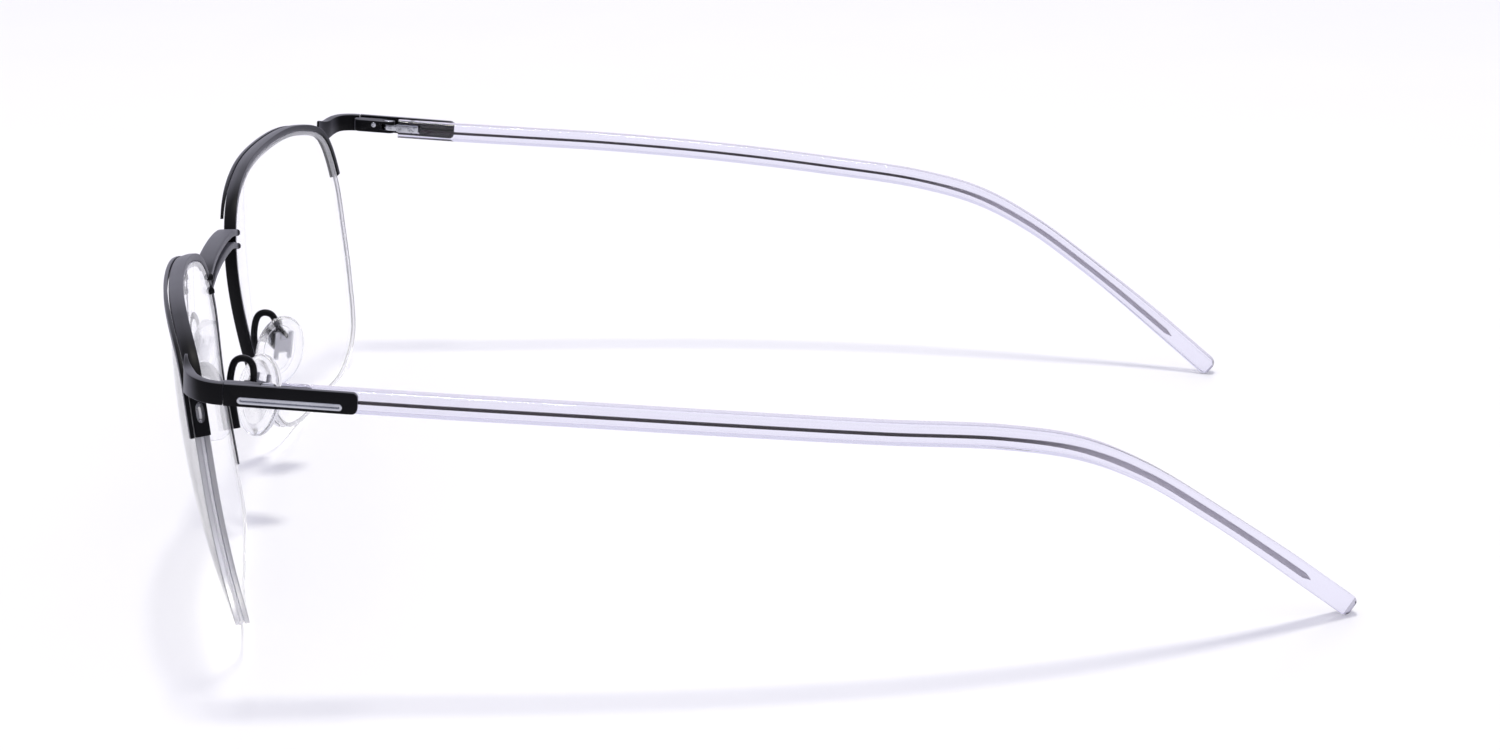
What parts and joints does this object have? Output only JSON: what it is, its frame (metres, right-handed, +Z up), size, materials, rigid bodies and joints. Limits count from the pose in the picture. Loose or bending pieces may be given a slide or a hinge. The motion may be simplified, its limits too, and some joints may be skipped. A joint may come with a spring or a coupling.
{
  "type": "half rim eyeglasses",
  "caption": "Half rim eyeglasses: black metal brow rims, nylon-held clear lenses, screw-on nose pads and clear folding temples with a wire core.",
  "frame": {"origin": "on the table under the middle of the open glasses", "axes": "+Z up, front facing -Y, temples running back along +Y, +X the wearer's left"},
  "size_m": [0.14, 0.1534, 0.0431],
  "materials": {
    "black_metal": "satin",
    "polished_steel": "polished",
    "pad_plate": "satin",
    "core_wire": "satin",
    "clear_plastic": "gloss",
    "silicone": "satin",
    "nylon": "gloss",
    "lens": "polished"
  },
  "bodies": {
    "front": {"bridge_upper_bar": "black_metal", "bridge_lower_bar": "black_metal", "rim_left": "black_metal", "brow_trim_left": "black_metal", "endpiece_left": "black_metal", "lens_left": "lens", "lens_cord_left": "nylon", "rim_liner_left": "nylon", "hinge_pin_left": "polished_steel", "pad_arm_left": "black_metal", "pad_box_left": "black_metal", "pad_screw_left": "polished_steel", "rim_right": "black_metal", "brow_trim_right": "black_metal", "endpiece_right": "black_metal", "lens_right": "lens", "lens_cord_right": "nylon", "rim_liner_right": "nylon", "hinge_pin_right": "polished_steel", "pad_arm_right": "black_metal", "pad_box_right": "black_metal", "pad_screw_right": "polished_steel"},
    "temple_left": {"hinge_tongue_left": "polished_steel", "tongue_screw_left": "polished_steel", "sleeve_plate_left": "black_metal", "sleeve_inlay_left": "polished_steel", "temple_left": "clear_plastic", "temple_core_left": "core_wire"},
    "pad_left": {"nose_pad_left": "silicone", "pad_insert_left": "pad_plate"},
    "temple_right": {"hinge_tongue_right": "polished_steel", "tongue_screw_right": "polished_steel", "sleeve_plate_right": "black_metal", "sleeve_inlay_right": "polished_steel", "temple_right": "clear_plastic", "temple_core_right": "core_wire"},
    "pad_right": {"nose_pad_right": "silicone", "pad_insert_right": "pad_plate"}
  },
  "joints": [
    {"name": "temple_left_fold", "type": "hinge", "parent": "front", "child": "temple_left", "pos_m": [0.0682, -0.05783, 0.03784], "axis": [0, 0.0872, 0.9962], "range_deg": [0, 83]},
    {"name": "temple_right_fold", "type": "hinge", "parent": "front", "child": "temple_right", "pos_m": [-0.0682, -0.05783, 0.03784], "axis": [0, -0.0872, -0.9962], "range_deg": [0, 78]},
    {"name": "pad_left_rock", "type": "hinge", "parent": "front", "child": "pad_left", "pos_m": [0.01175, -0.06907, 0.01941], "axis": [-0.5021, -0.8637, 0.0436], "range_deg": [-8, 8]},
    {"name": "pad_right_rock", "type": "hinge", "parent": "front", "child": "pad_right", "pos_m": [-0.01175, -0.06907, 0.01941], "axis": [0.5021, -0.8637, 0.0436], "range_deg": [-8, 8]}
  ]
}
